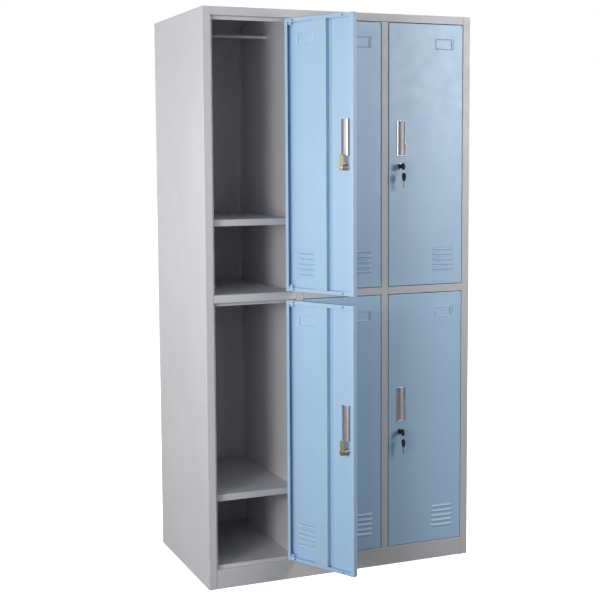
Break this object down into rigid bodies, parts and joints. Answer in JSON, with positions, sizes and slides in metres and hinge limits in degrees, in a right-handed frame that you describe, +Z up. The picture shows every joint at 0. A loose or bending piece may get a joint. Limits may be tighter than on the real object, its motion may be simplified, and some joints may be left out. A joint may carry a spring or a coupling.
{
  "type": "storage locker",
  "caption": "Tall six-door steel storage locker, three columns by two rows, each door on pivot pins with a recessed pull, key lock, louvres, shelf and card holder.",
  "frame": {"origin": "on the floor, in the middle of the plinth foot flange, 12.5 mm behind the front face", "axes": "+X to the right, +Y to the back, +Z up; the doors face -Y"},
  "size_m": [0.9, 0.7392, 1.76],
  "materials": {
    "carcass_paint": "light grey powder coat, fine orange peel",
    "door_paint": "light blue powder coat, fine orange peel",
    "handle_steel": "satin nickel",
    "lock_chrome": "bright nickel plate",
    "cam_zinc": "yellow zinc plate",
    "key_plastic": "black moulded bow",
    "socket_chrome": "bright nickel plate",
    "rod_chrome": "polished chrome tube"
  },
  "bodies": {
    "carcass": {"side_panel_left": "carcass_paint", "side_panel_right": "carcass_paint", "top_panel": "carcass_paint", "plinth": "carcass_paint", "base_floor": "carcass_paint", "back_panel": "carcass_paint", "partition_1": "carcass_paint", "partition_2": "carcass_paint", "deck_1": "carcass_paint", "deck_2": "carcass_paint", "deck_3": "carcass_paint", "shelf_1_lower": "carcass_paint", "shelf_2_lower": "carcass_paint", "shelf_3_lower": "carcass_paint", "shelf_1_upper": "carcass_paint", "shelf_2_upper": "carcass_paint", "shelf_3_upper": "carcass_paint", "rod_socket_left_1": "socket_chrome", "rod_socket_right_1": "socket_chrome", "hanging_rod_1": "rod_chrome", "rod_socket_left_2": "socket_chrome", "rod_socket_right_2": "socket_chrome", "hanging_rod_2": "rod_chrome", "rod_socket_left_3": "socket_chrome", "rod_socket_right_3": "socket_chrome", "hanging_rod_3": "rod_chrome"},
    "door_1_lower": {"door_1_lower": "door_paint", "stiffener_1_lower": "door_paint", "handle_1_lower": "handle_steel", "lock_barrel_1_lower": "lock_chrome"},
    "lock_1_lower": {"lock_cam_1_lower": "cam_zinc"},
    "door_2_lower": {"door_2_lower": "door_paint", "stiffener_2_lower": "door_paint", "handle_2_lower": "handle_steel", "lock_barrel_2_lower": "lock_chrome"},
    "lock_2_lower": {"lock_cam_2_lower": "cam_zinc", "key_2_lower": "key_plastic"},
    "door_3_lower": {"door_3_lower": "door_paint", "stiffener_3_lower": "door_paint", "handle_3_lower": "handle_steel", "lock_barrel_3_lower": "lock_chrome"},
    "lock_3_lower": {"lock_cam_3_lower": "cam_zinc", "key_3_lower": "key_plastic"},
    "door_1_upper": {"door_1_upper": "door_paint", "stiffener_1_upper": "door_paint", "handle_1_upper": "handle_steel", "lock_barrel_1_upper": "lock_chrome"},
    "lock_1_upper": {"lock_cam_1_upper": "cam_zinc"},
    "door_2_upper": {"door_2_upper": "door_paint", "stiffener_2_upper": "door_paint", "handle_2_upper": "handle_steel", "lock_barrel_2_upper": "lock_chrome"},
    "lock_2_upper": {"lock_cam_2_upper": "cam_zinc", "key_2_upper": "key_plastic"},
    "door_3_upper": {"door_3_upper": "door_paint", "stiffener_3_upper": "door_paint", "handle_3_upper": "handle_steel", "lock_barrel_3_upper": "lock_chrome"},
    "lock_3_upper": {"lock_cam_3_upper": "cam_zinc", "key_3_upper": "key_plastic"}
  },
  "joints": [
    {"name": "door_hinge_1_lower", "type": "hinge", "parent": "carcass", "child": "door_1_lower", "pos_m": [-0.1714, -0.007, 0.46995], "axis": [0, 0, 1], "range_deg": [-117, 0]},
    {"name": "lock_turn_1_lower", "type": "hinge", "parent": "door_1_lower", "child": "lock_1_lower", "pos_m": [-0.06985, -0.1942, 0.43595], "axis": [0.891, 0.454, 0], "range_deg": [0, 90]},
    {"name": "door_hinge_2_lower", "type": "hinge", "parent": "carcass", "child": "door_2_lower", "pos_m": [0.1197, -0.007, 0.46995], "axis": [0, 0, 1], "range_deg": [0, 117]},
    {"name": "lock_turn_2_lower", "type": "hinge", "parent": "door_2_lower", "child": "lock_2_lower", "pos_m": [-0.0932, -0.0125, 0.43595], "axis": [0, -1, 0], "range_deg": [0, 90]},
    {"name": "door_hinge_3_lower", "type": "hinge", "parent": "carcass", "child": "door_3_lower", "pos_m": [0.4108, -0.007, 0.46995], "axis": [0, 0, 1], "range_deg": [0, 117]},
    {"name": "lock_turn_3_lower", "type": "hinge", "parent": "door_3_lower", "child": "lock_3_lower", "pos_m": [0.1979, -0.0125, 0.43595], "axis": [0, -1, 0], "range_deg": [0, 90]},
    {"name": "door_hinge_1_upper", "type": "hinge", "parent": "carcass", "child": "door_1_upper", "pos_m": [-0.1714, -0.007, 1.3203], "axis": [0, 0, 1], "range_deg": [-117, 0]},
    {"name": "lock_turn_1_upper", "type": "hinge", "parent": "door_1_upper", "child": "lock_1_upper", "pos_m": [-0.06985, -0.1942, 1.2863], "axis": [0.891, 0.454, 0], "range_deg": [0, 90]},
    {"name": "door_hinge_2_upper", "type": "hinge", "parent": "carcass", "child": "door_2_upper", "pos_m": [0.1197, -0.007, 1.3203], "axis": [0, 0, 1], "range_deg": [0, 117]},
    {"name": "lock_turn_2_upper", "type": "hinge", "parent": "door_2_upper", "child": "lock_2_upper", "pos_m": [-0.0932, -0.0125, 1.2863], "axis": [0, -1, 0], "range_deg": [0, 90]},
    {"name": "door_hinge_3_upper", "type": "hinge", "parent": "carcass", "child": "door_3_upper", "pos_m": [0.4108, -0.007, 1.3203], "axis": [0, 0, 1], "range_deg": [0, 117]},
    {"name": "lock_turn_3_upper", "type": "hinge", "parent": "door_3_upper", "child": "lock_3_upper", "pos_m": [0.1979, -0.0125, 1.2863], "axis": [0, -1, 0], "range_deg": [0, 90]}
  ]
}
